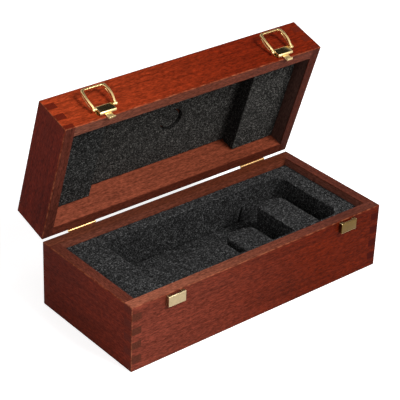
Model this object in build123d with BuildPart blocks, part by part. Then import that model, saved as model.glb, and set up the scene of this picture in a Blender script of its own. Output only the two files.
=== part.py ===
from build123d import *
import os
from math import cos, radians, sin

# Wooden microphone case: finger-jointed base and lid, cut foam, two hinges and two draw latches.
# Millimetres. Origin: middle of the underside. +X along the case, +Y to the hinged back, +Z up.

# Wooden shell
case_length = 305.0
case_width = 137.4
base_height = 69.0
lid_height = 42.7
rim_gap = 0.3
end_wall = 10.8
long_wall = 11.2
panel_thickness = 5.5
panel_rabbet = 5.0
edge_round = 0.8
finger_height = 7.5
base_first_finger = 9.0
lid_first_finger = 5.5
lid_open_angle = 73.0

# Foam in the base: a floor, a frame with a rounded opening, and three rests standing in it
foam_gap = 0.3
foam_below_rim = 6.6
foam_floor_thickness = 18.0
nest_margin_left = 40.1
nest_margin_right = 22.8
nest_margin_front = 11.5
nest_margin_back = 14.8
nest_corner = 12.0
rest_drop = 2.5
rest_corner = 10.0
rest_left_depth = 32.5
left_slot_width = 6.6
rest_middle_length = 34.5
rest_middle_depth = 36.3
middle_slot_width = 27.2
rest_right_length = 33.6
rest_right_depth = 62.9
right_slot_width = 22.8
slit_width = 1.2
slit_depth = 3.0
slit_height = 16.0
slit_lean = 3.4
slit_foot = 9.0
slit_from_right = 50.2

# Foam in the lid: a thin pad, a loose plug in its finger hole and two thicker end blocks
pad_thickness = 6.3
left_block_length = 55.0
left_block_thickness = 11.2
right_block_length = 55.0
right_block_thickness = 16.8
plug_hole_radius = 12.0
plug_gap = 0.9
plug_shift = 0.6
plug_recess = 1.8
plug_x = 7.0
plug_y = 1.2

# Hinges
hinge_from_end = 45.7
hinge_length = 30.0
end_knuckle = 12.0
knuckle_gap = 0.2
barrel_radius = 1.3
pin_stand_off = 1.15
hinge_pin_radius = 0.65
pin_head_radius = 1.0
pin_head_thickness = 0.8
leaf_height = 13.0
leaf_thickness = 0.9
leaf_corner = 1.5
leaf_screw_spacing = 18.0
leaf_screw_level = 8.6
running_gap = 0.05

# Screws
screw_head_radius = 2.3
screw_shank_radius = 1.1
screw_head_depth = 1.0
screw_length = 8.0
screw_slot_width = 0.6
screw_slot_depth = 0.45
screw_clearance = 0.05

# Keepers on the base
latch_from_left_end = 47.9
latch_from_right_end = 45.1
sheet = 0.9
keeper_length = 19.5
keeper_height = 10.8
keeper_stand_off = 4.2
keeper_below_rim = 1.3
keeper_lip_depth = 1.0
keeper_lip_height = 0.8
keeper_slot = 12.0
keeper_round = 0.5
tang_length = 6.0
tang_height = 5.0

# Latches on the lid, as heights above the lid's rim and distances out from the wood
plate_thickness = 0.6
plate_low = 5.0
plate_high = 13.4
plate_screw_spacing = 11.0
ear_height = 9.4
ear_stand_off = 3.2
ear_radius = 1.4
ear_thickness = 1.0
ear_gap = 0.35
rivet_radius = 0.7
rivet_head_radius = 1.7
rivet_head_thickness = 0.6
throw = 2.0
throw_angle = 24.4
lever_half_width = 12.9
lever_bar = 2.3
lever_eye = 1.9
lever_lobe = 1.3
lever_reach = 22.2
lever_trim = 0.2
lever_bow = 1.4
lever_rise = 5.6
lever_bulge = 0.8
lever_depth = 4.2
lever_end_depth = 2.4
lever_crossbar = 1.9
lever_window_corner = 2.6
lever_outer_corner = 3.0
lever_groove = 0.35
lever_groove_margin = 1.1
hook_side_gap = 0.35
hook_sheet = 0.7
hook_bend = 1.6
hook_eye = 1.4
hook_pin_radius = 0.5
hook_lip_level = 3.4
hook_wood_gap = 0.5
hook_flange_depth = 1.0
tongue_width = 7.0
tongue_end_depth = 2.2
tongue_tip_rise = 0.5
tongue_under_lip = 0.3

# Places worked out from the sizes above
half_length = case_length / 2
half_width = case_width / 2
inner_length = case_length - 2 * end_wall
inner_width = case_width - 2 * long_wall
lid_rim = base_height + rim_gap
lid_top = lid_rim + lid_height
pin_y = half_width + pin_stand_off
pin_z = base_height + rim_gap / 2
lid_pose = Pos(0, pin_y, pin_z) * Rot(-lid_open_angle, 0, 0) * Pos(0, -pin_y, -pin_z)
hinge_places = [hinge_from_end - half_length, half_length - hinge_from_end]
latch_places = [latch_from_left_end - half_length, half_length - latch_from_right_end]
sides = ["left", "right"]
centred = (Align.CENTER, Align.CENTER, Align.CENTER)
hanging = (Align.CENTER, Align.CENTER, Align.MAX)

os.makedirs("parts", exist_ok=True)


def save(piece, name, pose=Pos(0, 0, 0)):
    """Write one finished piece; the lid's pieces are modelled closed and turned open here."""
    solid = piece.part.moved(pose)
    solid.label = name
    export_step(solid, f"parts/{name}.step")


def finger_spans(low, high, first):
    """The heights of the corner fingers, from the bottom up."""
    levels = [low]
    level = low + first
    while level < high - finger_height / 4:
        levels.append(level)
        level += finger_height
    levels.append(high)
    return list(zip(levels, levels[1:]))


def outer_arrises(wall, low, high):
    """The edges where two outside faces of the case meet."""

    def is_outer(edge):
        middle = edge.center()
        near = 0.01
        on_end = abs(abs(middle.X) - half_length) < near
        on_side = abs(abs(middle.Y) - half_width) < near
        on_rim = min(abs(middle.Z - low), abs(middle.Z - high)) < near
        return on_end + on_side + on_rim == 2

    return wall.edges().filter_by(is_outer)


def leaf_screw_planes(direction):
    """Where the hinge screws sit: direction is -1 on the base and 1 on the lid."""
    return [
        Plane(
            origin=(x + step, half_width + leaf_thickness, pin_z + direction * leaf_screw_level),
            x_dir=(1, 0, 0),
            z_dir=(0, 1, 0),
        )
        for x in hinge_places
        for step in (-leaf_screw_spacing / 2, leaf_screw_spacing / 2)
    ]


def plate_screw_planes():
    """Where the latch plates are screwed to the lid's front wall."""
    return [
        Plane(
            origin=(x + step, -half_width - plate_thickness, lid_rim + (plate_low + plate_high) / 2),
            x_dir=(1, 0, 0),
            z_dir=(0, -1, 0),
        )
        for x in latch_places
        for step in (-plate_screw_spacing / 2, plate_screw_spacing / 2)
    ]


def screw_body(planes, clearance, mode):
    """Countersunk screw shapes: solid screws, or with a clearance the holes that take them."""
    with Locations(*planes):
        Cone(
            screw_shank_radius + clearance,
            screw_head_radius + clearance,
            screw_head_depth,
            align=hanging,
            mode=mode,
        )
        Cylinder(screw_shank_radius + clearance, screw_length + clearance, align=hanging, mode=mode)


def screws(planes):
    """A set of screws with a plain slot in each head."""
    with BuildPart() as group:
        screw_body(planes, 0, Mode.ADD)
        with Locations(*planes):
            Box(
                2 * screw_head_radius,
                screw_slot_width,
                screw_slot_depth,
                align=hanging,
                mode=Mode.SUBTRACT,
            )
    return group


def keeper_tangs(x, mode):
    """The two tangs that hold a keeper in the wood."""
    level = base_height - keeper_below_rim - keeper_height / 2
    with Locations(
        *[
            (x + end * (keeper_length - sheet) / 2, -half_width + tang_length / 2, level)
            for end in (-1, 1)
        ]
    ):
        Box(sheet, tang_length, tang_height, mode=mode)


# The four walls of the base and of the lid, joined by interlocking fingers


def long_side(side, low, high, notches, panel_level):
    """One long wall: side is -1 at the front and 1 at the back."""
    middle = side * (case_width - long_wall) / 2
    with BuildPart() as wall:
        with Locations((0, middle, (low + high) / 2)):
            Box(case_length, long_wall, high - low)
        for notch_low, notch_high in notches:
            ends = [
                (end * (case_length - end_wall) / 2, middle, (notch_low + notch_high) / 2)
                for end in (-1, 1)
            ]
            with Locations(*ends):
                Box(end_wall, long_wall, notch_high - notch_low, mode=Mode.SUBTRACT)
        with Locations((0, 0, panel_level)):
            Box(
                inner_length + 2 * panel_rabbet,
                inner_width + 2 * panel_rabbet,
                panel_thickness,
                mode=Mode.SUBTRACT,
            )
        fillet(outer_arrises(wall, low, high), edge_round)
        if side == 1 and low == 0:
            screw_body(leaf_screw_planes(-1), screw_clearance, Mode.SUBTRACT)
        elif side == 1:
            screw_body(leaf_screw_planes(1), screw_clearance, Mode.SUBTRACT)
        elif low > 0:
            screw_body(plate_screw_planes(), screw_clearance, Mode.SUBTRACT)
        else:
            for x in latch_places:
                keeper_tangs(x, Mode.SUBTRACT)
    return wall


def end_side(side, low, high, notches, panel_level):
    """One end wall: side is -1 at the left and 1 at the right."""
    middle = side * (case_length - end_wall) / 2
    with BuildPart() as wall:
        with Locations((middle, 0, (low + high) / 2)):
            Box(end_wall, case_width, high - low)
        for notch_low, notch_high in notches:
            ends = [
                (middle, end * (case_width - long_wall) / 2, (notch_low + notch_high) / 2)
                for end in (-1, 1)
            ]
            with Locations(*ends):
                Box(end_wall, long_wall, notch_high - notch_low, mode=Mode.SUBTRACT)
        with Locations((0, 0, panel_level)):
            Box(
                inner_length + 2 * panel_rabbet,
                inner_width + 2 * panel_rabbet,
                panel_thickness,
                mode=Mode.SUBTRACT,
            )
        fillet(outer_arrises(wall, low, high), edge_round)
    return wall


def panel(level):
    """A thin panel seated flush in the rabbets of four walls."""
    with BuildPart() as board:
        with Locations((0, 0, level)):
            Box(inner_length + 2 * panel_rabbet, inner_width + 2 * panel_rabbet, panel_thickness)
    return board


base_spans = finger_spans(0, base_height, base_first_finger)
lid_spans = finger_spans(lid_rim, lid_top, lid_first_finger)
bottom_level = panel_thickness / 2
top_level = lid_top - panel_thickness / 2

for side, face in ((-1, "front"), (1, "back")):
    save(long_side(side, 0, base_height, base_spans[1::2], bottom_level), f"base_{face}_wall")
    save(long_side(side, lid_rim, lid_top, lid_spans[0::2], top_level), f"lid_{face}_wall", lid_pose)
for side, face in ((-1, "left"), (1, "right")):
    save(end_side(side, 0, base_height, base_spans[0::2], bottom_level), f"base_{face}_wall")
    save(end_side(side, lid_rim, lid_top, lid_spans[1::2], top_level), f"lid_{face}_wall", lid_pose)
save(panel(bottom_level), "base_bottom_panel")
save(panel(top_level), "lid_top_panel", lid_pose)

# Foam in the base

foam_length = inner_length - 2 * foam_gap
foam_width = inner_width - 2 * foam_gap
floor_top = panel_thickness + foam_floor_thickness
foam_top = base_height - foam_below_rim
nest_left = -inner_length / 2 + nest_margin_left
nest_right = inner_length / 2 - nest_margin_right
nest_front = -inner_width / 2 + nest_margin_front
nest_back = inner_width / 2 - nest_margin_back

with BuildPart() as base_foam_floor:
    with Locations((0, 0, (panel_thickness + floor_top) / 2)):
        Box(foam_length, foam_width, foam_floor_thickness)
save(base_foam_floor, "base_foam_floor")

with BuildPart() as base_foam_frame:
    with BuildSketch(Plane.XY.offset(floor_top)):
        Rectangle(foam_length, foam_width)
        with Locations(((nest_left + nest_right) / 2, (nest_front + nest_back) / 2)):
            RectangleRounded(
                nest_right - nest_left, nest_back - nest_front, nest_corner, mode=Mode.SUBTRACT
            )
    extrude(amount=foam_top - floor_top)
    slit_x = nest_right - slit_from_right
    with BuildSketch(Plane(origin=(slit_x, nest_back, floor_top), x_dir=(1, 0, 0), z_dir=(0, -1, 0))):
        with BuildLine():
            Polyline(
                (-slit_foot, 0),
                (0, 0),
                (slit_lean, slit_height),
                (slit_lean - slit_width, slit_height),
                (-slit_width, slit_width),
                (-slit_foot, slit_width),
                close=True,
            )
        make_face()
    extrude(amount=-slit_depth, mode=Mode.SUBTRACT)
save(base_foam_frame, "base_foam_frame")


def foam_rest(left, length, depth, left_corner, name):
    """A foam block that stands on the floor against the front of the nest, rounded behind."""
    with BuildPart() as rest:
        with BuildSketch(Plane.XY.offset(floor_top)):
            with Locations((left + length / 2, nest_front + depth / 2)):
                Rectangle(length, depth)
            behind = vertices().group_by(Axis.Y)[-1].sort_by(Axis.X)
            fillet(behind[-1], rest_corner)
            if left_corner == "behind":
                fillet(vertices().group_by(Axis.Y)[-1].sort_by(Axis.X)[0], rest_corner)
            else:
                fillet(vertices().group_by(Axis.Y)[0].sort_by(Axis.X)[0], nest_corner)
        extrude(amount=foam_top - rest_drop - floor_top)
    save(rest, name)


rest_right_left = nest_right - right_slot_width - rest_right_length
rest_middle_left = rest_right_left - middle_slot_width - rest_middle_length
rest_left_length = rest_middle_left - left_slot_width - nest_left
foam_rest(nest_left, rest_left_length, rest_left_depth, "front", "base_foam_rest_left")
foam_rest(
    rest_middle_left, rest_middle_length, rest_middle_depth, "behind", "base_foam_rest_middle"
)
foam_rest(rest_right_left, rest_right_length, rest_right_depth, "behind", "base_foam_rest_right")

# Foam in the lid

pad_top = lid_top - panel_thickness
pad_face = pad_top - pad_thickness

with BuildPart() as lid_foam_pad:
    with BuildSketch(Plane.XY.offset(pad_face)):
        Rectangle(foam_length, foam_width)
        with Locations((plug_x, plug_y)):
            Circle(plug_hole_radius, mode=Mode.SUBTRACT)
    extrude(amount=pad_thickness)
save(lid_foam_pad, "lid_foam_pad", lid_pose)

with BuildPart() as lid_foam_plug:
    with BuildSketch(Plane.XY.offset(pad_face + plug_recess)):
        with Locations((plug_x - plug_shift, plug_y)):
            Circle(plug_hole_radius - plug_gap)
    extrude(amount=pad_thickness - plug_recess)
save(lid_foam_plug, "lid_foam_plug", lid_pose)

for end, name, length, thickness in (
    (-1, "left", left_block_length, left_block_thickness),
    (1, "right", right_block_length, right_block_thickness),
):
    with BuildPart() as lid_foam_block:
        with Locations((end * (foam_length - length) / 2, 0, pad_face - thickness / 2)):
            Box(length, foam_width, thickness)
    save(lid_foam_block, f"lid_foam_block_{name}", lid_pose)

# Hinges: three knuckles on a headed pin, with the middle knuckle on the lid's leaf


def knuckle_cylinders(spans, radius, mode):
    """Round lengths along the hinge axis, one for each span."""
    for start, stop in spans:
        with Locations(Location(((start + stop) / 2, pin_y, pin_z), (0, 90, 0))):
            Cylinder(radius, stop - start, mode=mode)


def hinge_leaf(x, direction, own, other, screw_planes):
    """A leaf on the back of the case: direction is -1 for the base leaf and 1 for the lid leaf."""
    low, high = sorted((0, direction * leaf_height))
    with BuildPart() as leaf:
        with BuildSketch(Plane(origin=(x, half_width, pin_z), x_dir=(1, 0, 0), z_dir=(0, -1, 0))):
            with Locations((0, (low + high) / 2)):
                Rectangle(hinge_length, leaf_height)
            far_edge = vertices().group_by(Axis.Y)[0 if direction < 0 else -1]
            fillet(far_edge, leaf_corner)
        extrude(amount=-leaf_thickness)
        knuckle_cylinders(own, barrel_radius, Mode.ADD)
        for start, stop in other:
            reach = pin_stand_off + knuckle_gap
            with Locations(((start + stop) / 2, half_width, pin_z)):
                Box(stop - start + 2 * knuckle_gap, 4 * reach, 2 * reach, mode=Mode.SUBTRACT)
        bore = [(x - hinge_length, x + hinge_length)]
        knuckle_cylinders(bore, hinge_pin_radius + running_gap, Mode.SUBTRACT)
        screw_body(screw_planes, screw_clearance, Mode.SUBTRACT)
    return leaf


for x, name in zip(hinge_places, sides):
    start, stop = x - hinge_length / 2, x + hinge_length / 2
    base_knuckles = [(start, start + end_knuckle), (stop - end_knuckle, stop)]
    lid_knuckle = [(start + end_knuckle + knuckle_gap, stop - end_knuckle - knuckle_gap)]
    base_leaf = hinge_leaf(x, -1, base_knuckles, lid_knuckle, leaf_screw_planes(-1))
    lid_leaf = hinge_leaf(x, 1, lid_knuckle, base_knuckles, leaf_screw_planes(1))
    save(base_leaf, f"hinge_base_leaf_{name}")
    save(lid_leaf, f"hinge_lid_leaf_{name}", lid_pose)
    with BuildPart() as hinge_pin:
        knuckle_cylinders([(start, stop)], hinge_pin_radius, Mode.ADD)
        heads = [(start - pin_head_thickness, start), (stop, stop + pin_head_thickness)]
        knuckle_cylinders(heads, pin_head_radius, Mode.ADD)
    save(hinge_pin, f"hinge_pin_{name}")
save(screws(leaf_screw_planes(-1)), "hinge_base_screws")
save(screws(leaf_screw_planes(1)), "hinge_lid_screws", lid_pose)

# Keepers: a folded box, open below, with a slot in its top for the hook's tongue

keeper_top = base_height - keeper_below_rim
for x, name in zip(latch_places, sides):
    with BuildPart() as keeper:
        with Locations((x, -half_width - keeper_stand_off / 2, keeper_top - keeper_height / 2)):
            Box(keeper_length, keeper_stand_off, keeper_height)
        rounded = keeper.edges().filter_by(Axis.Z).group_by(Axis.Y)[0]
        fillet(rounded + keeper.edges().group_by(Axis.Z)[-1].sort_by(Axis.Y)[0], keeper_round)
        inside = keeper_stand_off - sheet
        middle = keeper_top - keeper_lip_height - keeper_height / 2
        with Locations((x, -half_width - inside / 2, middle)):
            Box(keeper_length - 2 * sheet, inside, keeper_height, mode=Mode.SUBTRACT)
        slot_depth = inside - keeper_lip_depth
        with Locations((x, -half_width - slot_depth / 2, keeper_top)):
            Box(keeper_slot, slot_depth, 2 * keeper_lip_height, mode=Mode.SUBTRACT)
        keeper_tangs(x, Mode.ADD)
    save(keeper, f"keeper_{name}")

# Latches: a plate with two ears, a lever frame riveted to the ears, and a hook pinned to the lever

ear_inner = lever_half_width - lever_bar - ear_gap - ear_thickness
hook_half_width = ear_inner - hook_side_gap
pin_out = ear_stand_off - throw * sin(radians(throw_angle))
pin_up = ear_height + throw * cos(radians(throw_angle))


def side_plane(x):
    """Sketch plane across a latch: first axis out from the wood, second axis up from the rim."""
    return Plane(origin=(x, -half_width, lid_rim), x_dir=(0, -1, 0), z_dir=(-1, 0, 0))


def face_plane(x):
    """Sketch plane on the wood behind a latch: first axis along the case, second axis up."""
    return Plane(origin=(x, -half_width, lid_rim), x_dir=(1, 0, 0), z_dir=(0, -1, 0))


def cross_rod(x, out, up, radius, start, stop, mode):
    """A round rod along the case, from start to stop measured from the latch's middle."""
    with Locations(
        Location((x + (start + stop) / 2, -half_width - out, lid_rim + up), (0, 90, 0))
    ):
        Cylinder(radius, stop - start, mode=mode)


def latch_plate(x):
    """The plate on the wood and the two ears that carry the lever."""
    with BuildPart() as plate:
        with BuildSketch(face_plane(x)):
            with Locations((0, (plate_low + plate_high) / 2)):
                Rectangle(2 * (ear_inner + ear_thickness), plate_high - plate_low)
        extrude(amount=plate_thickness)
        for end in (-1, 1):
            ear_middle = x + end * (ear_inner + ear_thickness / 2)
            with BuildSketch(side_plane(ear_middle)):
                with Locations((ear_stand_off, ear_height)):
                    Circle(ear_radius)
                with Locations((ear_stand_off / 2, ear_height - ear_radius / 2)):
                    Rectangle(ear_stand_off, ear_radius)
            extrude(amount=ear_thickness / 2, both=True)
        reach = ear_inner + ear_thickness
        cross_rod(x, ear_stand_off, ear_height, rivet_radius, -reach, reach, Mode.SUBTRACT)
        screw_body(plate_screw_planes(), screw_clearance, Mode.SUBTRACT)
    return plate


def latch_rivets(x):
    """The two headed rivets on which the lever turns."""
    with BuildPart() as rivets:
        for end in (-1, 1):
            inner, outer = sorted((end * ear_inner, end * (lever_half_width + running_gap)))
            cross_rod(x, ear_stand_off, ear_height, rivet_radius, inner, outer, Mode.ADD)
            tip = lever_half_width + running_gap + rivet_head_thickness
            inner, outer = sorted((end * (lever_half_width + running_gap), end * tip))
            cross_rod(x, ear_stand_off, ear_height, rivet_head_radius, inner, outer, Mode.ADD)
        rims = rivets.edges().filter_by(GeomType.CIRCLE).sort_by(Axis.X)
        fillet([rims[0], rims[-1]], rivet_head_thickness / 2)
    return rivets


def lever_outline(inset):
    """The lever seen from the side: an eye at the rivet and an arched bar that leans outwards.

    The bar is drawn a little long, because the outline seen from the front trims its end.
    """
    end_out = ear_stand_off + lever_rise
    end_up = ear_height + lever_reach + lever_trim
    middle_out = ear_stand_off + lever_rise / 2 + lever_bulge
    middle_up = ear_height + lever_reach / 2
    foot_inner = (ear_stand_off - lever_eye + inset, ear_height)
    foot_outer = (ear_stand_off + lever_eye - inset, ear_height)
    top_inner = (end_out - lever_end_depth / 2 + inset, end_up - inset)
    top_outer = (end_out + lever_end_depth / 2 - inset, end_up - inset)
    with BuildSketch() as outline:
        with BuildLine():
            ThreePointArc(foot_inner, (middle_out - lever_depth / 2 + inset, middle_up), top_inner)
            Line(top_inner, top_outer)
            ThreePointArc(top_outer, (middle_out + lever_depth / 2 - inset, middle_up), foot_outer)
            ThreePointArc(foot_outer, (ear_stand_off, ear_height - lever_eye + inset), foot_inner)
        make_face()
    return outline.sketch


def lever_frame(half, top):
    """The lever seen from the front: straight feet, and side bars bowed a little outwards."""
    foot = ear_height + rivet_head_radius + ear_gap
    low = ear_height - lever_reach
    middle = (foot + top) / 2
    with BuildSketch() as outline:
        with BuildLine():
            Polyline((-half, foot), (-half, low), (half, low), (half, foot))
            ThreePointArc((half, foot), (half + lever_bow, middle), (half, top))
            Line((half, top), (-half, top))
            ThreePointArc((-half, top), (-half - lever_bow, middle), (-half, foot))
        make_face()
    return outline.sketch


def side_grooves(x):
    """Shallow grooves along the two faces of each side bar."""
    top = ear_height + lever_reach
    with BuildPart() as grooves:
        with BuildSketch(side_plane(x)):
            add(lever_outline(lever_groove_margin))
            with Locations((ear_stand_off, ear_height)):
                Circle(lever_eye + lever_lobe, mode=Mode.SUBTRACT)
            with Locations((ear_stand_off + lever_rise, top)):
                Circle(lever_outer_corner + lever_crossbar, mode=Mode.SUBTRACT)
        extrude(amount=lever_half_width + 2 * lever_bow, both=True)
        with BuildSketch(face_plane(x)):
            for half in (lever_half_width, lever_half_width - lever_bar):
                add(lever_frame(half + lever_groove, top))
                add(lever_frame(half - lever_groove, top), mode=Mode.SUBTRACT)
        extrude(amount=keeper_stand_off * 4, mode=Mode.INTERSECT)
    return grooves.part


def latch_lever(x):
    """The open frame that a finger lifts: two arched side bars and a crossbar."""
    top = ear_height + lever_reach
    with BuildPart() as lever:
        with BuildSketch(side_plane(x)):
            add(lever_outline(0))
            with Locations((pin_out, pin_up)):
                Circle(lever_lobe)
        extrude(amount=lever_half_width + 2 * lever_bow, both=True)
        with BuildSketch(face_plane(x)):
            add(lever_frame(lever_half_width, top))
            fillet(vertices().group_by(Axis.Y)[-1], lever_outer_corner)
        extrude(amount=keeper_stand_off * 4, mode=Mode.INTERSECT)
        with BuildSketch(face_plane(x)):
            add(lever_frame(lever_half_width - lever_bar, top - lever_crossbar))
            fillet(vertices().group_by(Axis.Y)[-1], lever_window_corner)
        extrude(amount=keeper_stand_off * 4, mode=Mode.SUBTRACT)
        add(side_grooves(x), mode=Mode.SUBTRACT)
        bore = rivet_radius + running_gap
        across = lever_half_width + lever_bar
        cross_rod(x, ear_stand_off, ear_height, bore, -across, across, Mode.SUBTRACT)
        cross_rod(x, pin_out, pin_up, hook_pin_radius, -across, across, Mode.SUBTRACT)
    return lever


def fold(front, low, bend):
    """Side view of a folded sheet's front: from the tongue out to a rounded lower corner."""
    back = hook_wood_gap + hook_sheet
    with BuildSketch() as outline:
        with Locations(((front + back) / 2, (pin_up + low) / 2)):
            Rectangle(front - back, pin_up - low)
        fillet(outline.vertices().group_by(Axis.Y)[0].sort_by(Axis.X)[-1], bend)
    return outline.sketch


def latch_hook(x):
    """The hook: a folded plate with side flanges and a narrow tongue with a turned-up end."""
    face = pin_out + hook_eye
    lip_bottom = hook_lip_level - hook_sheet
    tip_top = -(rim_gap + keeper_below_rim + keeper_lip_height + tongue_under_lip)
    bottom = tip_top - tongue_tip_rise - hook_sheet
    tongue_back = hook_wood_gap
    tongue_front = hook_wood_gap + hook_sheet
    tip_front = hook_wood_gap + tongue_end_depth
    with BuildPart() as hook:
        with BuildSketch(side_plane(x)):
            add(fold(face, lip_bottom, hook_bend))
            inner = fold(face - hook_sheet, hook_lip_level, hook_bend - hook_sheet)
            add(inner, mode=Mode.SUBTRACT)
            with Locations((pin_out, pin_up)):
                Circle(hook_eye)
        extrude(amount=hook_half_width, both=True)
        flange_depth = hook_sheet + hook_flange_depth
        flange_top = pin_up - hook_eye
        for end in (-1, 1):
            with BuildSketch(side_plane(x + end * (hook_half_width - hook_sheet / 2))):
                add(fold(face, lip_bottom, hook_bend))
                with Locations((face - flange_depth / 2, (flange_top + lip_bottom) / 2)):
                    Rectangle(flange_depth, flange_top - lip_bottom, mode=Mode.INTERSECT)
            extrude(amount=hook_sheet / 2, both=True)
        with BuildSketch(side_plane(x)):
            with BuildLine():
                Polyline(
                    (tongue_back, hook_lip_level),
                    (tongue_back, bottom),
                    (tip_front, bottom),
                    (tip_front, tip_top),
                    (tip_front - hook_sheet, tip_top),
                    (tip_front - hook_sheet, bottom + hook_sheet),
                    (tongue_front, bottom + hook_sheet),
                    (tongue_front, hook_lip_level),
                    close=True,
                )
            make_face()
        extrude(amount=tongue_width / 2, both=True)
        bore = hook_pin_radius + running_gap
        cross_rod(x, pin_out, pin_up, bore, -hook_half_width, hook_half_width, Mode.SUBTRACT)
    return hook


for x, name in zip(latch_places, sides):
    save(latch_plate(x), f"latch_plate_{name}", lid_pose)
    save(latch_rivets(x), f"latch_rivets_{name}", lid_pose)
    save(latch_lever(x), f"latch_lever_{name}", lid_pose)
    save(latch_hook(x), f"latch_hook_{name}", lid_pose)
    with BuildPart() as hook_pin:
        cross_rod(
            x, pin_out, pin_up, hook_pin_radius, -lever_half_width, lever_half_width, Mode.ADD
        )
    save(hook_pin, f"latch_hook_pin_{name}", lid_pose)
save(screws(plate_screw_planes()), "latch_plate_screws", lid_pose)
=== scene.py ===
import math

import bmesh
import bpy
import numpy as np
from mathutils import Matrix, Vector


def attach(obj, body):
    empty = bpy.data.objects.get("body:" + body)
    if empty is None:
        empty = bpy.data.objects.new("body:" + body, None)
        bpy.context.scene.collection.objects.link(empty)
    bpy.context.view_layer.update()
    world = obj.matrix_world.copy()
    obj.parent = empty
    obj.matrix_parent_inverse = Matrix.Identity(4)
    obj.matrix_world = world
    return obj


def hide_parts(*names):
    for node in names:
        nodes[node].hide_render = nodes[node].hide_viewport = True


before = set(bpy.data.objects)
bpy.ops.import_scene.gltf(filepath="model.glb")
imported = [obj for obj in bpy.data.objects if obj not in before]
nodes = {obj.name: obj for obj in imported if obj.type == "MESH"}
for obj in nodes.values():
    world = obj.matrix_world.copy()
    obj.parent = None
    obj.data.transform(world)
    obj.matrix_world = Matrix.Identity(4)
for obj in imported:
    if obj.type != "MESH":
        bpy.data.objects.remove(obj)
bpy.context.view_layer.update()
scene = bpy.context.scene

# Sizes that the looks share with the solids, in metres
LID_OPEN = math.radians(73.0)
PIN = Vector((0, 0.06985, 0.06915))
HALF_LENGTH = 0.1525
HALF_WIDTH = 0.0687
BASE_RIM = 0.069
LID_RIM = 0.0693
LID_TOP = 0.112
FOAM_HALF_LENGTH = 0.1414
FOAM_HALF_WIDTH = 0.0572
FOAM_FLOOR_TOP = 0.0235
BOTTOM_PANEL_TOP = 0.0055
LID_PANEL_INSIDE = 0.1065
LID_PAD_INSIDE = 0.1002

# The knife's slit in the nest's back wall: its run as (x, z) places, and its section
NEST_BACK = 0.0427
SLIT_FOOT = (0.0597, 0.0241)
SLIT_BEND = (0.0684, 0.0241)
SLIT_TOP = (0.0718, 0.0395)
SLIT_HALF_WIDTH = 0.00035
SLIT_FLANK = 0.0007
SLIT_DEPTH = 0.003

# Turning the open lid level again brings its pieces to where they are when the case is shut
LEVEL = Matrix.Identity(4)
LID_LEVEL = (
    Matrix.Translation(PIN) @ Matrix.Rotation(LID_OPEN, 4, "X") @ Matrix.Translation(-PIN)
)


# Node helpers


def new_material(name):
    """An empty node material and its tree."""
    material = bpy.data.materials.new(name)
    material.use_nodes = True
    material.node_tree.nodes.clear()
    return material, material.node_tree


def node(tree, kind, **settings):
    """Adds a node and sets its own settings."""
    made = tree.nodes.new(kind)
    for key, value in settings.items():
        setattr(made, key, value)
    return made


def plug_in(tree, socket, value):
    """Links a socket to another, or sets its value."""
    if isinstance(value, bpy.types.NodeSocket):
        tree.links.new(value, socket)
    else:
        socket.default_value = value


def feed(tree, target, **inputs):
    """Sets a node's inputs by name, with _ for a space."""
    for key, value in inputs.items():
        plug_in(tree, target.inputs[key.replace("_", " ")], value)
    return target


def mapped(tree, point, turn=(0, 0, 0), stretch=(1, 1, 1), shift=(0, 0, 0)):
    """Turns, stretches and shifts a point."""
    made = node(tree, "ShaderNodeMapping", vector_type="POINT")
    feed(tree, made, Vector=point, Rotation=turn, Scale=stretch, Location=shift)
    return made.outputs["Vector"]


def levelled(tree, turn):
    """Object coordinates turned to where the piece is when the case is shut."""
    point = node(tree, "ShaderNodeTexCoord").outputs["Object"]
    return mapped(tree, point, turn=turn.to_euler(), shift=turn.translation)


def axes_of(tree, vector):
    """The vector's three numbers, by the names X, Y and Z."""
    made = node(tree, "ShaderNodeSeparateXYZ")
    tree.links.new(vector, made.inputs[0])
    return made.outputs


def facing_axes(tree, turn):
    """The numbers of the face's direction as it is when the case is shut."""
    facing = node(tree, "ShaderNodeTexCoord").outputs["Normal"]
    return axes_of(tree, mapped(tree, facing, turn=turn.to_euler()))


def noise_of(tree, point, scale, detail=2.0, roughness=0.5, distortion=0.0):
    """Noise from 0 to 1, mostly near 0.5."""
    made = node(tree, "ShaderNodeTexNoise")
    feed(tree, made, Vector=point, Scale=scale, Detail=detail)
    feed(tree, made, Roughness=roughness, Distortion=distortion)
    return made.outputs["Fac"]


def ramp(tree, value, stops):
    """Colour ramp from (place, colour or grey) pairs."""
    made = node(tree, "ShaderNodeValToRGB")
    elements = made.color_ramp.elements
    while len(elements) < len(stops):
        elements.new(0.5)
    for element, (place, colour) in zip(elements, stops):
        element.position = place
        element.color = (*colour, 1) if isinstance(colour, tuple) else (colour,) * 3 + (1,)
    tree.links.new(value, made.inputs["Fac"])
    return made.outputs["Color"]


def between(tree, value, low, high, out_low=0.0, out_high=1.0):
    """The value's place between low and high, smoothed and kept inside the new limits."""
    made = node(tree, "ShaderNodeMapRange", interpolation_type="SMOOTHSTEP")
    feed(tree, made, Value=value, From_Min=low, From_Max=high, To_Min=out_low, To_Max=out_high)
    return made.outputs["Result"]


def mixed(tree, kind, factor, first, second):
    """Blends the second colour over the first."""
    made = node(tree, "ShaderNodeMix", data_type="RGBA", blend_type=kind)
    made.clamp_factor = True
    for place, value in ((0, factor), (6, first), (7, second)):
        plain = place == 0 or isinstance(value, bpy.types.NodeSocket)
        plug_in(tree, made.inputs[place], value if plain else (*value, 1))
    return made.outputs[2]


def sums(tree, kind, first, second=0.0):
    """One step of arithmetic."""
    made = node(tree, "ShaderNodeMath", operation=kind)
    plug_in(tree, made.inputs[0], first)
    plug_in(tree, made.inputs[1], second)
    return made.outputs[0]


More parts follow.
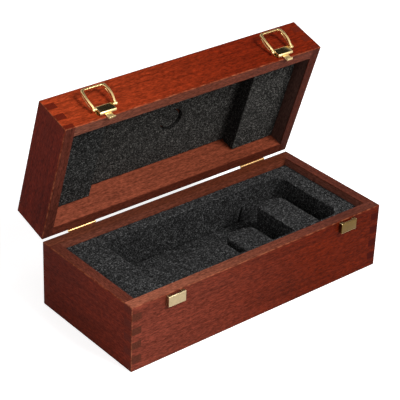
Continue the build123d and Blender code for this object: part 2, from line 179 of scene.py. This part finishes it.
def bumped(tree, height, distance, strength):
    """Fine relief for light to catch on."""
    made = node(tree, "ShaderNodeBump")
    feed(tree, made, Height=height, Distance=distance, Strength=strength)
    return made.outputs["Normal"]


def surface(tree, **inputs):
    """The shader and the output, with the shader's sockets set by name."""
    shader = node(tree, "ShaderNodeBsdfPrincipled")
    names = {"Specular": "Specular IOR Level"}
    for key, value in inputs.items():
        socket = shader.inputs[names.get(key, key.replace("_", " "))]
        colour = isinstance(value, tuple) and len(value) == 3
        plug_in(tree, socket, (*value, 1) if colour else value)
    out = node(tree, "ShaderNodeOutputMaterial")
    tree.links.new(shader.outputs[0], out.inputs["Surface"])
    return shader


def srgb(red, green, blue):
    """Linear colour from the 0 to 255 values that a screen shows."""
    return tuple(
        c / 12.92 if c <= 0.04045 else ((c + 0.055) / 1.055) ** 2.4
        for c in (red / 255, green / 255, blue / 255)
    )


# Stained wood


def outer_faces(tree, place):
    """Which faces are outside, with the shares of the end faces and of the front and back."""
    across_x = sums(tree, "ABSOLUTE", place["X"])
    across_y = sums(tree, "ABSOLUTE", place["Y"])
    ends = between(tree, across_x, HALF_LENGTH - 0.0009, HALF_LENGTH - 0.0004)
    fronts = between(tree, across_y, HALF_WIDTH - 0.0009, HALF_WIDTH - 0.0004)
    top = between(tree, place["Z"], LID_TOP - 0.0009, LID_TOP - 0.0004)
    underside = between(tree, place["Z"], 0.0002, 0.0009, 1.0, 0.0)
    sides = sums(tree, "MAXIMUM", ends, fronts)
    outer = sums(tree, "MAXIMUM", sums(tree, "MAXIMUM", sides, top), underside)
    return ends, fronts, outer


def grained(tree, tone, patterns):
    """The tone under its figure, streaks, mottle, flecks and pores."""
    shades = (
        ("figure", 0.8, [(0.3, 0.74), (0.5, 1.0), (0.7, 1.2)]),
        ("streaks", 0.7, [(0.3, 0.6), (0.48, 1.0), (0.7, 1.26)]),
        ("mottle", 0.6, [(0.3, 0.66), (0.5, 1.0), (0.7, 1.34)]),
        ("flecks", 0.8, [(0.3, 0.5), (0.5, 1.0), (0.7, 1.5)]),
        ("pores", 0.6, [(0.28, 0.4), (0.38, 1.0)]),
    )
    for pattern, strength, stops in shades:
        tone = mixed(tree, "MULTIPLY", strength, tone, ramp(tree, patterns[pattern], stops))
    return tone


def stained_wood(name, turn, grain, stain, seed):
    """Stained wood: brighter outside, browner on the rims and inside, under a painted gradient of
    light along each board.
    """
    left, right, inside_left, inside_right, end, rim_tint = stain
    material, tree = new_material(name)
    shut = levelled(tree, turn)
    place = axes_of(tree, shut)
    facing = facing_axes(tree, turn)
    end_on = between(tree, sums(tree, "ABSOLUTE", facing[grain]), 0.6, 0.8)
    ends, fronts, outer = outer_faces(tree, place)
    seeded = mapped(tree, shut, shift=(seed, seed * 2, seed * 3))

    def stretched(along, across):
        stretch = (along, across, across) if grain == 0 else (across, along, across)
        return mapped(tree, seeded, stretch=stretch)

    patterns = {
        "figure": noise_of(tree, stretched(9, 34), 1.0, 4.0, 0.6, 0.8),
        "streaks": noise_of(tree, stretched(11, 360), 1.0, 4.0, 0.6),
        "mottle": noise_of(tree, stretched(170, 420), 1.0, 3.0, 0.6, 0.5),
        "flecks": noise_of(tree, stretched(260, 1100), 1.0, 2.0, 0.5),
        "pores": noise_of(tree, stretched(240, 2600), 1.0, 1.0, 0.5),
    }
    speckle = noise_of(tree, mapped(tree, seeded, stretch=(800, 800, 800)), 1.0, 3.0, 0.6)

    # Paler towards one end of each board and darker towards the other: a painted gradient of sheen
    # and light falloff, set by left and right.
    drift = sums(tree, "MULTIPLY", patterns["figure"], 0.12)
    drift = sums(tree, "ADD", place[grain], drift)
    light_fade = between(tree, drift, *((-0.12, 0.16) if grain == 0 else (0.0, 0.14)))
    tone = mixed(tree, "MIX", light_fade, left, right)
    inside = mixed(tree, "MIX", light_fade, inside_left, inside_right)
    tone = grained(tree, mixed(tree, "MIX", outer, inside, tone), patterns)
    end_tone = mixed(tree, "MULTIPLY", 0.7, end, ramp(tree, speckle, [(0.3, 0.5), (0.7, 1.45)]))
    tone = mixed(tree, "MIX", end_on, tone, end_tone)

    near_rim = sums(tree, "SUBTRACT", place["Z"], (BASE_RIM + LID_RIM) / 2)
    near_rim = between(tree, sums(tree, "ABSOLUTE", near_rim), 0.0005, 0.0014, 1.0, 0.0)
    tone = mixed(tree, "MULTIPLY", near_rim, tone, rim_tint)
    # Pale arrises at corners and rim edges: stain worn through, with a painted highlight along the
    # eased edges.
    corners = sums(tree, "MULTIPLY", ends, fronts)
    rims = sums(tree, "MULTIPLY", near_rim, sums(tree, "MAXIMUM", ends, fronts))
    arris = sums(tree, "MAXIMUM", corners, rims)
    rubbed = between(tree, patterns["mottle"], 0.4, 0.62, 0.1, 0.7)
    worn_and_highlit = mixed(tree, "MIX", 0.5, inside, srgb(176, 106, 70))
    tone = mixed(tree, "MIX", sums(tree, "MULTIPLY", arris, rubbed), tone, worn_and_highlit)

    relief = sums(tree, "MULTIPLY", patterns["streaks"], 0.5)
    relief = sums(tree, "ADD", relief, patterns["flecks"])
    relief = sums(tree, "ADD", relief, sums(tree, "MULTIPLY", speckle, 0.3))
    surface(
        tree,
        Base_Color=tone,
        Roughness=ramp(tree, patterns["mottle"], [(0.3, 0.46), (0.7, 0.36)]),
        Normal=bumped(tree, relief, 0.0002, 0.5),
        Specular=0.02,
    )
    return material


# Outside left and right, inside left and right, end grain, and what tints the rim. Each wall's
# colours were fitted one by one to the tones that wall shows, so besides the stain they hold painted
# light and shade: darker left end walls, and a brighter, more orange lid front standing in for its
# sheen.
FRONT_STAIN = (
    srgb(107, 49, 36),
    srgb(81, 22, 6),
    srgb(143, 82, 62),
    srgb(92, 45, 33),
    srgb(82, 29, 19),
    (1.0, 1.0, 1.0),
)
BACK_STAIN = (
    srgb(118, 57, 43),
    srgb(94, 33, 20),
    srgb(104, 57, 44),
    srgb(96, 48, 33),
    srgb(82, 29, 19),
    (0.8, 0.75, 0.66),
)
LEFT_STAIN = (
    srgb(94, 30, 16),
    srgb(77, 21, 9),
    srgb(91, 45, 34),
    srgb(91, 45, 34),
    srgb(80, 40, 28),
    (1.0, 1.0, 1.0),
)
RIGHT_STAIN = (
    srgb(108, 38, 24),
    srgb(108, 38, 24),
    srgb(108, 62, 50),
    srgb(108, 62, 50),
    srgb(58, 10, 3),
    (0.62, 0.42, 0.34),
)
LID_FRONT_STAIN = (
    srgb(137, 50, 23),
    srgb(101, 27, 8),
    srgb(102, 60, 47),
    srgb(94, 46, 33),
    srgb(86, 24, 11),
    (1.0, 1.0, 1.0),
)
LID_BACK_STAIN = (
    srgb(148, 54, 26),
    srgb(118, 34, 14),
    srgb(132, 67, 48),
    srgb(112, 54, 36),
    srgb(86, 24, 11),
    (0.49, 0.46, 0.49),
)
LID_LEFT_STAIN = (
    srgb(82, 22, 11),
    srgb(77, 17, 5),
    srgb(79, 38, 29),
    srgb(79, 38, 29),
    srgb(90, 27, 14),
    (1.0, 1.0, 1.0),
)
LID_RIGHT_STAIN = (
    srgb(104, 40, 32),
    srgb(104, 40, 32),
    srgb(68, 46, 40),
    srgb(68, 46, 40),
    srgb(90, 27, 14),
    (1.0, 0.4, 0.24),
)

wood_for = {
    "base_front_wall": (LEVEL, 0, FRONT_STAIN, 0.1),
    "base_back_wall": (LEVEL, 0, BACK_STAIN, 0.9),
    "base_left_wall": (LEVEL, 1, LEFT_STAIN, 1.7),
    "base_right_wall": (LEVEL, 1, RIGHT_STAIN, 2.3),
    "base_bottom_panel": (LEVEL, 0, BACK_STAIN, 3.1),
    "lid_front_wall": (LID_LEVEL, 0, LID_FRONT_STAIN, 4.2),
    "lid_back_wall": (LID_LEVEL, 0, LID_BACK_STAIN, 5.3),
    "lid_left_wall": (LID_LEVEL, 1, LID_LEFT_STAIN, 6.1),
    "lid_right_wall": (LID_LEVEL, 1, LID_RIGHT_STAIN, 7.4),
    "lid_top_panel": (LID_LEVEL, 0, LID_FRONT_STAIN, 8.2),
}


def dress(name, material):
    """Puts a material on a carried-over node."""
    mesh = nodes[name].data
    mesh.materials.clear()
    mesh.materials.append(material)


for wood_name, (turn, grain, stain, seed) in wood_for.items():
    dress(wood_name, stained_wood(wood_name + "_wood", turn, grain, stain, seed))


# Metal


def polished_brass(name, colour, roughness, dull=None):
    """Brass with a haze in its polish, and duller below one level of the shut lid."""
    material, tree = new_material(name)
    point = node(tree, "ShaderNodeTexCoord").outputs["Object"]
    haze = noise_of(tree, mapped(tree, point, stretch=(300, 300, 300)), 1.0, 3.0, 0.6)
    brushed = noise_of(tree, mapped(tree, point, stretch=(200, 4000, 4000)), 1.0, 2.0, 0.5)
    tint = mixed(tree, "MULTIPLY", 0.5, colour, ramp(tree, haze, [(0.3, 0.75), (0.7, 1.15)]))
    rough = sums(tree, "ADD", sums(tree, "MULTIPLY", haze, 0.12), roughness - 0.06)
    if dull is not None:
        level = axes_of(tree, levelled(tree, LID_LEVEL))["Z"]
        worn = between(tree, level, dull, dull + 0.0006, 0.27, 0.0)
        rough = sums(tree, "ADD", rough, worn)
    surface(
        tree,
        Base_Color=tint,
        Metallic=1.0,
        Roughness=rough,
        Normal=bumped(tree, brushed, 0.00002, 0.3),
    )
    return material


lever_brass = polished_brass("lever_brass", srgb(240, 208, 144), 0.28)
latch_brass = polished_brass("latch_brass", srgb(230, 202, 144), 0.13, LID_RIM + 0.0034)
# The two keepers are one brass: the left one's paler colour is painted light, the right one's darker
# colour painted shade.
lit_keeper_brass = polished_brass("lit_keeper_brass", srgb(188, 168, 130), 0.34)
shaded_keeper_brass = polished_brass("shaded_keeper_brass", srgb(110, 86, 44), 0.3)
hinge_brass = polished_brass("hinge_brass", srgb(226, 182, 122), 0.34)
screw_brass = polished_brass("screw_brass", srgb(196, 158, 88), 0.32)
# Pale brass for eased edges: rubbed by wear, and brighter as a painted highlight.
rubbed_and_highlit_brass = polished_brass("rubbed_and_highlit_brass", srgb(250, 224, 168), 0.42)

for made_name in nodes:
    if made_name.endswith("_screws"):
        dress(made_name, screw_brass)
    elif made_name.startswith("hinge_"):
        dress(made_name, hinge_brass)
    elif made_name.startswith("latch_"):
        dress(made_name, latch_brass)
    if made_name.startswith(("latch_rivets", "latch_plate_l", "latch_plate_r")):
        dress(made_name, lever_brass)


def made_solid(piece):
    """Turns a piece and its modifiers into one plain mesh."""
    ready = piece.evaluated_get(bpy.context.evaluated_depsgraph_get())
    mesh = bpy.data.meshes.new_from_object(ready)
    piece.modifiers.clear()
    piece.data = mesh
    return mesh


def merged_copy(name, ending):
    """A new piece with a node's mesh, its loose triangles joined."""
    piece = bpy.data.objects.new(name + ending, nodes[name].data.copy())
    scene.collection.objects.link(piece)
    loose = bmesh.new()
    loose.from_mesh(piece.data)
    bmesh.ops.remove_doubles(loose, verts=loose.verts, dist=0.000002)
    loose.to_mesh(piece.data)
    loose.free()
    return piece


def ease_edges(name, body, width, finish):
    """Stands for a folded or cut brass part, its edges eased, rubbed bright and painted paler as a
    highlight.
    """
    piece = merged_copy(name, "_eased")
    flat = bmesh.new()
    flat.from_mesh(piece.data)
    bmesh.ops.dissolve_limit(flat, angle_limit=0.01, verts=flat.verts, edges=flat.edges)
    flat.to_mesh(piece.data)
    flat.free()
    piece.data.materials.clear()
    piece.data.materials.append(finish)
    piece.data.materials.append(rubbed_and_highlit_brass)
    ease = piece.modifiers.new("ease", "BEVEL")
    ease.width = width
    ease.segments = 3
    ease.limit_method = "ANGLE"
    ease.angle_limit = math.radians(40)
    ease.material = 1
    mesh = made_solid(piece)
    mesh.shade_smooth()
    mesh.set_sharp_from_angle(angle=math.radians(32))
    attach(piece, body)
    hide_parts(name)
    return piece


def cast_lever(side):
    """Stands for one lever: a casting whose bars are rounded over and polished."""
    name = f"latch_lever_{side}"
    piece = merged_copy(name, "_cast")
    skin = piece.modifiers.new("skin", "REMESH")
    skin.mode = "VOXEL"
    skin.voxel_size = 0.00028
    polish = piece.modifiers.new("polish", "SMOOTH")
    polish.factor = 0.5
    polish.iterations = 14
    mesh = made_solid(piece)
    mesh.shade_smooth()
    mesh.materials.clear()
    mesh.materials.append(lever_brass)
    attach(piece, f"lever_{side}")
    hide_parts(name)
    return piece


for side, finish in (("left", lit_keeper_brass), ("right", shaded_keeper_brass)):
    ease_edges(f"keeper_{side}", "base", 0.0003, finish)
    ease_edges(f"latch_hook_{side}", f"hook_{side}", 0.0002, latch_brass)
    cast_lever(side)


# Foam


def open_cell_foam(name, turn, shade, side_shade, seed):
    """Charcoal foam with painted glints where its cut cells catch the light here and there, and
    painted shade on its standing faces.
    """
    material, tree = new_material(name)
    level = mapped(tree, levelled(tree, turn), shift=(seed, seed, seed))
    upright = sums(tree, "ABSOLUTE", facing_axes(tree, turn)["Z"])
    standing_faces = between(tree, upright, 0.5, 0.9, 1.0, 0.0)
    cells = node(tree, "ShaderNodeTexVoronoi", feature="F1")
    feed(tree, cells, Vector=level, Scale=900.0, Randomness=1.0)
    chance = node(tree, "ShaderNodeSeparateColor")
    tree.links.new(cells.outputs["Color"], chance.inputs[0])
    grit = noise_of(tree, level, 1300.0, 2.0, 0.7)
    clouds = noise_of(tree, level, 70.0, 4.0, 0.6)
    # Speckle from the cells, its brightest cells painted glints where cut cell edges catch the
    # light.
    cell_glints = [(0.0, 0.25), (0.5, 0.75), (0.8, 1.4), (1.0, 3.2)]
    tone = mixed(tree, "MULTIPLY", 1.0, shade, ramp(tree, chance.outputs[0], cell_glints))
    specks = ramp(tree, grit, [(0.36, 0.2), (0.5, 0.95), (0.66, 2.4)])
    tone = mixed(tree, "MULTIPLY", 1.0, tone, specks)
    tone = mixed(tree, "MULTIPLY", 0.5, tone, ramp(tree, clouds, [(0.3, 0.75), (0.7, 1.25)]))
    # Painted shade on faces that stand up, set per foam and darkest on the lid's foam.
    tone = mixed(tree, "MULTIPLY", standing_faces, tone, (side_shade, side_shade, side_shade))
    # Painted shade down in the knife's slit, near black.
    slit = node(tree, "ShaderNodeAttribute", attribute_name="slit").outputs["Fac"]
    tone = mixed(tree, "MULTIPLY", slit, tone, (0.06, 0.06, 0.06))
    relief = sums(tree, "ADD", cells.outputs["Distance"], grit)
    surface(
        tree,
        Base_Color=tone,
        Roughness=0.95,
        Specular=0.05,
        Normal=bumped(tree, relief, 0.0005, 0.6),
    )
    return material


def torn_cells_tree():
    """Lets a foam skin sink unevenly, and scatters the crumbs of torn cells over its open faces."""
    tree = bpy.data.node_groups.new("torn_cells", "GeometryNodeTree")
    sockets = tree.interface
    sockets.new_socket("Geometry", in_out="OUTPUT", socket_type="NodeSocketGeometry")
    for label, kind in (
        ("Geometry", "NodeSocketGeometry"),
        ("Cells per metre", "NodeSocketFloat"),
        ("Cell depth", "NodeSocketFloat"),
        ("Waves per metre", "NodeSocketFloat"),
        ("Wave depth", "NodeSocketFloat"),
        ("Crumbs per square metre", "NodeSocketFloat"),
        ("Crumb size", "NodeSocketFloat"),
        ("Seed", "NodeSocketInt"),
        ("Finish", "NodeSocketMaterial"),
    ):
        sockets.new_socket(label, in_out="INPUT", socket_type=kind)
    given = node(tree, "NodeGroupInput").outputs
    place = node(tree, "GeometryNodeInputPosition").outputs[0]
    cells = noise_of(tree, place, given["Cells per metre"], 1.0)
    waves = noise_of(tree, place, given["Waves per metre"], 1.0)
    sunk = sums(tree, "MULTIPLY", cells, given["Cell depth"])
    sunk = sums(tree, "ADD", sunk, sums(tree, "MULTIPLY", waves, given["Wave depth"]))
    inward = node(tree, "ShaderNodeVectorMath", operation="SCALE")
    tree.links.new(node(tree, "GeometryNodeInputNormal").outputs[0], inward.inputs[0])
    plug_in(tree, inward.inputs["Scale"], sums(tree, "MULTIPLY", sunk, -1.0))
    skin = feed(
        tree,
        node(tree, "GeometryNodeSetPosition"),
        Geometry=given["Geometry"],
        Offset=inward.outputs[0],
    )
    open_faces = node(tree, "GeometryNodeInputNamedAttribute", data_type="BOOLEAN")
    open_faces.inputs["Name"].default_value = "open_face"
    spots = feed(
        tree,
        node(tree, "GeometryNodeDistributePointsOnFaces"),
        Mesh=skin.outputs[0],
        Selection=open_faces.outputs[0],
        Density=given["Crumbs per square metre"],
        Seed=given["Seed"],
    )
    crumb = feed(
        tree,
        node(tree, "GeometryNodeMeshCone"),
        Vertices=3,
        Radius_Top=0.0,
        Radius_Bottom=given["Crumb size"],
        Depth=given["Crumb size"],
    )
    turns = node(tree, "FunctionNodeRandomValue", data_type="FLOAT_VECTOR")
    turns.inputs[1].default_value = (6.28, 6.28, 6.28)
    sizes = node(tree, "FunctionNodeRandomValue", data_type="FLOAT")
    sizes.inputs[2].default_value = 0.5
    sizes.inputs[3].default_value = 1.4
    crumbs = feed(
        tree,
        node(tree, "GeometryNodeInstanceOnPoints"),
        Points=spots.outputs["Points"],
        Instance=crumb.outputs["Mesh"],
        Rotation=turns.outputs[0],
        Scale=sizes.outputs[1],
    )
    both = node(tree, "GeometryNodeJoinGeometry")
    tree.links.new(crumbs.outputs[0], both.inputs[0])
    tree.links.new(skin.outputs[0], both.inputs[0])
    whole = feed(tree, node(tree, "GeometryNodeRealizeInstances"), Geometry=both.outputs[0])
    dressed = feed(
        tree,
        node(tree, "GeometryNodeSetMaterial"),
        Geometry=whole.outputs[0],
        Material=given["Finish"],
    )
    out = node(tree, "NodeGroupOutput")
    tree.links.new(dressed.outputs[0], out.inputs[0])
    return tree


torn_cells = torn_cells_tree()


def vertices_of(mesh):
    """The places of a mesh's vertices, one to a row."""
    places = np.empty(len(mesh.vertices) * 3)
    mesh.vertices.foreach_get("co", places)
    return places.reshape(-1, 3)


def from_slit(places):
    """How far points of the nest's back wall are from the slit, in the plane of the wall."""
    flat = places[:, [0, 2]]
    nearest = np.full(len(flat), 1.0)
    for start, stop in ((SLIT_FOOT, SLIT_BEND), (SLIT_BEND, SLIT_TOP)):
        start, run = np.array(start), np.array(stop) - np.array(start)
        share = np.clip((flat - start) @ run / (run @ run), 0, 1)
        away = np.linalg.norm(flat - start - share[:, None] * run, axis=1)
        nearest = np.minimum(nearest, away)
    off_the_wall = 0.0012
    nearest[np.abs(places[:, 1] - NEST_BACK) > off_the_wall] = 1.0
    return nearest


def press_slit(mesh):
    """Presses the knife's slit into the nest's back wall: along its foot, then up and leaning, and
    stores each point's share of it for the painted shade inside.
    """
    fine = bmesh.new()
    fine.from_mesh(mesh)
    middles = np.array([(e.verts[0].co + e.verts[1].co) / 2 for e in fine.edges])
    refined = 0.003
    edges = [edge for edge, away in zip(fine.edges, from_slit(middles)) if away < refined]
    bmesh.ops.subdivide_edges(fine, edges=edges, cuts=2, use_grid_fill=True)
    fine.to_mesh(mesh)
    fine.free()
    places = vertices_of(mesh)
    cut = np.clip(1 - (from_slit(places) - SLIT_HALF_WIDTH) / SLIT_FLANK, 0, 1)
    places[:, 1] += cut * SLIT_DEPTH
    mesh.vertices.foreach_set("co", places.ravel())
    mesh.attributes.new("slit", "FLOAT", "POINT").data.foreach_set("value", cut)


def mark_open_faces(mesh, turn, hidden):
    """Marks the faces that show: not those against the walls, nor those at the hidden level."""
    centres = np.empty(len(mesh.polygons) * 3)
    mesh.polygons.foreach_get("center", centres)
    shut = centres.reshape(-1, 3) @ np.array(turn.to_3x3()).T + np.array(turn.translation)
    wall_slack, level_slack = 0.0008, 0.0012
    shown = np.abs(shut[:, 0]) < FOAM_HALF_LENGTH - wall_slack
    shown &= np.abs(shut[:, 1]) < FOAM_HALF_WIDTH - wall_slack
    shown &= np.abs(shut[:, 2] - hidden) > level_slack
    marks = mesh.attributes.new("open_face", "BOOLEAN", "FACE")
    marks.data.foreach_set("value", shown)


def cut_foam(name, body, turn, hidden, cell, seed, finish):
    """Stands for one foam solid: an even skin with soft arrises, torn cells and knife waves."""
    piece = merged_copy(name, "_cut")
    skin = piece.modifiers.new("skin", "REMESH")
    skin.mode = "VOXEL"
    skin.voxel_size = cell
    soft = piece.modifiers.new("soft", "SMOOTH")
    soft.factor = 0.5
    soft.iterations = 1
    mesh = made_solid(piece)
    if name == "base_foam_frame":
        press_slit(mesh)
    mark_open_faces(mesh, turn, hidden)
    torn = piece.modifiers.new("torn", "NODES")
    torn.node_group = torn_cells
    values = {
        "Cells per metre": 330.0,
        "Cell depth": 0.0007,
        "Waves per metre": 24.0,
        "Wave depth": 0.0006,
        "Crumbs per square metre": 240000.0,
        "Crumb size": 0.00034,
        "Seed": seed,
        "Finish": finish,
    }
    for item in torn_cells.interface.items_tree:
        if item.in_out == "INPUT" and item.name in values:
            torn[item.identifier] = values[item.name]
    mesh = made_solid(piece)
    mesh.shade_smooth()
    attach(piece, body)
    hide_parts(name)
    return piece


frame_foam = open_cell_foam("frame_foam", LEVEL, srgb(47, 47, 47), 0.72, 0.3)
# Darker copies of the same foam as painted shade: for the floor and the left and middle rests down
# in the nest, and for the lid's left block.
shaded_nest_foam = open_cell_foam("shaded_nest_foam", LEVEL, srgb(43, 43, 43), 0.9, 0.7)
lid_foam = open_cell_foam("lid_foam", LID_LEVEL, srgb(50, 49, 47), 0.4, 1.3)
shaded_left_block_foam = open_cell_foam("shaded_left_block_foam", LID_LEVEL, srgb(43, 43, 42), 0.4, 1.9)

# Each foam piece with the body it rides, the level against which it lies, and its cell size
foam_pieces = (
    ("base_foam_floor", "base", BOTTOM_PANEL_TOP, 0.0013, shaded_nest_foam),
    ("base_foam_frame", "base", FOAM_FLOOR_TOP, 0.0011, frame_foam),
    ("base_foam_rest_left", "base", FOAM_FLOOR_TOP, 0.001, shaded_nest_foam),
    ("base_foam_rest_middle", "base", FOAM_FLOOR_TOP, 0.001, shaded_nest_foam),
    ("base_foam_rest_right", "base", FOAM_FLOOR_TOP, 0.001, frame_foam),
    ("lid_foam_pad", "lid", LID_PANEL_INSIDE, 0.0011, lid_foam),
    ("lid_foam_plug", "lid", LID_PANEL_INSIDE, 0.0007, lid_foam),
    ("lid_foam_block_left", "lid", LID_PAD_INSIDE, 0.001, shaded_left_block_foam),
    ("lid_foam_block_right", "lid", LID_PAD_INSIDE, 0.001, lid_foam),
)
for seed, (foam_name, body, hidden, cell, finish) in enumerate(foam_pieces, start=1):
    turn = LEVEL if body == "base" else LID_LEVEL
    cut_foam(foam_name, body, turn, hidden, cell, seed, finish)


# Floor, light and camera


def seen_or_mirrored(tree, seen, mirrored):
    """A strength for what the camera or a clear piece sees, and one for what gloss mirrors."""
    rays = node(tree, "ShaderNodeLightPath")
    straight = sums(
        tree, "MAXIMUM", rays.outputs["Is Camera Ray"], rays.outputs["Is Transmission Ray"]
    )
    direct = sums(tree, "MULTIPLY", straight, seen)
    return sums(tree, "ADD", direct, sums(tree, "MULTIPLY", rays.outputs["Is Glossy Ray"], mirrored))


def floor_material():
    """A pale floor that shows white, with the shadow left on it."""
    material, tree = new_material("pale_floor")
    diffuse = node(tree, "ShaderNodeBsdfDiffuse")
    diffuse.inputs["Color"].default_value = (0.8, 0.8, 0.8, 1)
    glow = node(tree, "ShaderNodeEmission")
    tree.links.new(seen_or_mirrored(tree, 0.66, 0.2), glow.inputs["Strength"])
    added = node(tree, "ShaderNodeAddShader")
    tree.links.new(diffuse.outputs[0], added.inputs[0])
    tree.links.new(glow.outputs[0], added.inputs[1])
    out = node(tree, "ShaderNodeOutputMaterial")
    tree.links.new(added.outputs[0], out.inputs["Surface"])
    return material


def pale_floor(reach):
    """A plain square of floor."""
    mesh = bpy.data.meshes.new("floor")
    corners = [(-reach, -reach, 0), (reach, -reach, 0), (reach, reach, 0), (-reach, reach, 0)]
    mesh.from_pydata(corners, [], [(0, 1, 2, 3)])
    mesh.materials.append(floor_material())
    floor = bpy.data.objects.new("floor", mesh)
    scene.collection.objects.link(floor)


def studio_world(fill, dark_direction):
    """An even fill of light; the eye and the brass see white, with one dark patch overhead."""
    world = bpy.data.worlds.new("studio")
    scene.world = world
    world.use_nodes = True
    tree = world.node_tree
    tree.nodes.clear()
    heading = node(tree, "ShaderNodeTexCoord").outputs["Generated"]
    toward_dark = node(tree, "ShaderNodeVectorMath", operation="DOT_PRODUCT")
    tree.links.new(heading, toward_dark.inputs[0])
    toward_dark.inputs[1].default_value = dark_direction
    patch = between(tree, toward_dark.outputs["Value"], 0.93, 0.975, 1.0, 0.03)
    shown = seen_or_mirrored(tree, 1.0, 1.0)
    strength = sums(tree, "MULTIPLY", shown, patch)
    unseen = sums(tree, "SUBTRACT", 1.0, shown)
    strength = sums(tree, "ADD", strength, sums(tree, "MULTIPLY", unseen, fill))
    sky = node(tree, "ShaderNodeBackground")
    tree.links.new(strength, sky.inputs["Strength"])
    out = node(tree, "ShaderNodeOutputWorld")
    tree.links.new(sky.outputs[0], out.inputs["Surface"])


def soft_lamp(name, place, size, power):
    """A square lamp aimed at the middle of the case."""
    lamp = bpy.data.lights.new(name, "AREA")
    lamp.shape = "SQUARE"
    lamp.size = size
    lamp.energy = power
    made = bpy.data.objects.new(name, lamp)
    scene.collection.objects.link(made)
    made.location = place
    aim = Vector((0, 0, 0.08)) - Vector(place)
    made.rotation_euler = aim.to_track_quat("-Z", "Y").to_euler()


def long_camera(lens, place):
    """The camera, with its place and turn fitted to the corners of base and lid."""
    data = bpy.data.cameras.new("camera")
    data.sensor_width = 36.0
    data.lens = lens
    data.clip_start = 0.01
    data.clip_end = 50.0
    camera = bpy.data.objects.new("camera", data)
    scene.collection.objects.link(camera)
    camera.matrix_world = place
    scene.camera = camera


pale_floor(6.0)
studio_world(0.42, (0.563, 0.267, 0.781))
soft_lamp("key_lamp", (0.6, -1.5, 1.6), 0.9, 54)
soft_lamp("left_lamp", (-1.8, -0.6, 1.2), 1.4, 14)
long_camera(
    137.3,
    Matrix(
        (
            (0.77247, 0.29418, -0.56279, -0.8252),
            (-0.63412, 0.4053, -0.65851, -0.9409),
            (0.03438, 0.86556, 0.49963, 0.8150),
            (0, 0, 0, 1),
        )
    ),
)
scene.view_settings.view_transform = "Standard"
